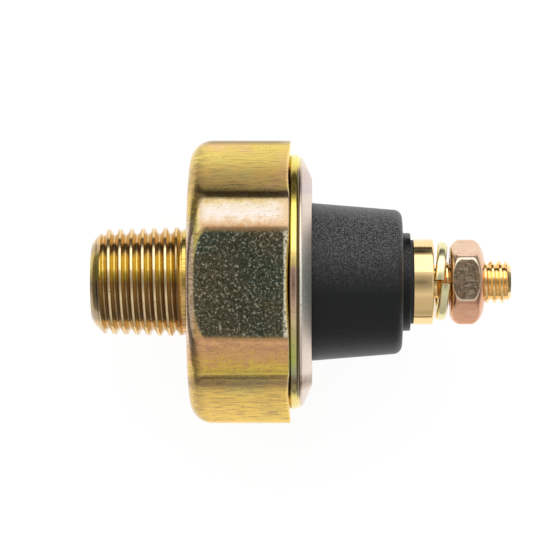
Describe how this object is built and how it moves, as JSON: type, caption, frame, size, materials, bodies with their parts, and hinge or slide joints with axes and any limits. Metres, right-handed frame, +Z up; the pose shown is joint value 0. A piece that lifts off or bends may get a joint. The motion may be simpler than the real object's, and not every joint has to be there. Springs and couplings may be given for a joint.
{
  "type": "oil pressure sender",
  "caption": "Oil pressure sender: hexagonal plated body with a tapered port thread, rolled rim, moulded insulator and a screw terminal with nut and spring washer.",
  "frame": {"origin": "under the middle of the sender's length, on the surface that its lower hexagon flat rests on", "axes": "+X along the sender's axis from the port thread to the terminal, +Z up out of the upper hexagon flat"},
  "size_m": [0.0384, 0.026, 0.024],
  "materials": {
    "plated_body": "steel with yellow zinc plating, brushed along the side flats",
    "seal_rubber": "black rubber",
    "diaphragm_film": "amber film",
    "inner_steel": "plain bright steel",
    "contact_metal": "bright brass",
    "pusher_plastic": "natural moulded plastic",
    "spring_steel": "spring wire",
    "insulator_plastic": "matte black moulding with a fine grain",
    "stud_brass": "turned bright brass",
    "plated_washer": "spring steel with pale yellow zinc plating",
    "copper_plated_nut": "steel with a copper toned plating"
  },
  "bodies": {
    "housing": {"hex_body": "plated_body", "seal_ring": "seal_rubber", "diaphragm": "diaphragm_film", "spacer_ring": "inner_steel", "contact_plate": "inner_steel", "fixed_contacts": "contact_metal", "contact_spring": "spring_steel", "insulator": "insulator_plastic", "rim_gasket": "seal_rubber", "terminal_seal": "seal_rubber", "terminal_stud": "stud_brass", "backing_washer": "contact_metal"},
    "plunger": {"thrust_plate": "inner_steel", "pusher": "pusher_plastic", "moving_contact": "contact_metal"},
    "washer": {"spring_washer": "plated_washer"},
    "nut": {"terminal_nut": "copper_plated_nut"}
  },
  "joints": [
    {"name": "contact_lift", "type": "slide", "parent": "housing", "child": "plunger", "axis": [1, 0, 0], "range_m": [0, 0.0005], "stiffness_N_per_m": 1500, "springref_m": -0.001, "deforming": ["contact_spring", "diaphragm"]},
    {"name": "nut_travel", "type": "slide", "parent": "housing", "child": "washer", "axis": [1, 0, 0], "range_m": [0, 0.0049]},
    {"name": "nut_turn", "type": "hinge", "parent": "washer", "child": "nut", "pos_m": [0.01517, 0, 0.012], "axis": [1, 0, 0], "range_deg": [0, 2520]}
  ],
  "couplings": [
    {"joint": "nut_turn", "follows": "nut_travel", "rad_per_m": 8976}
  ]
}
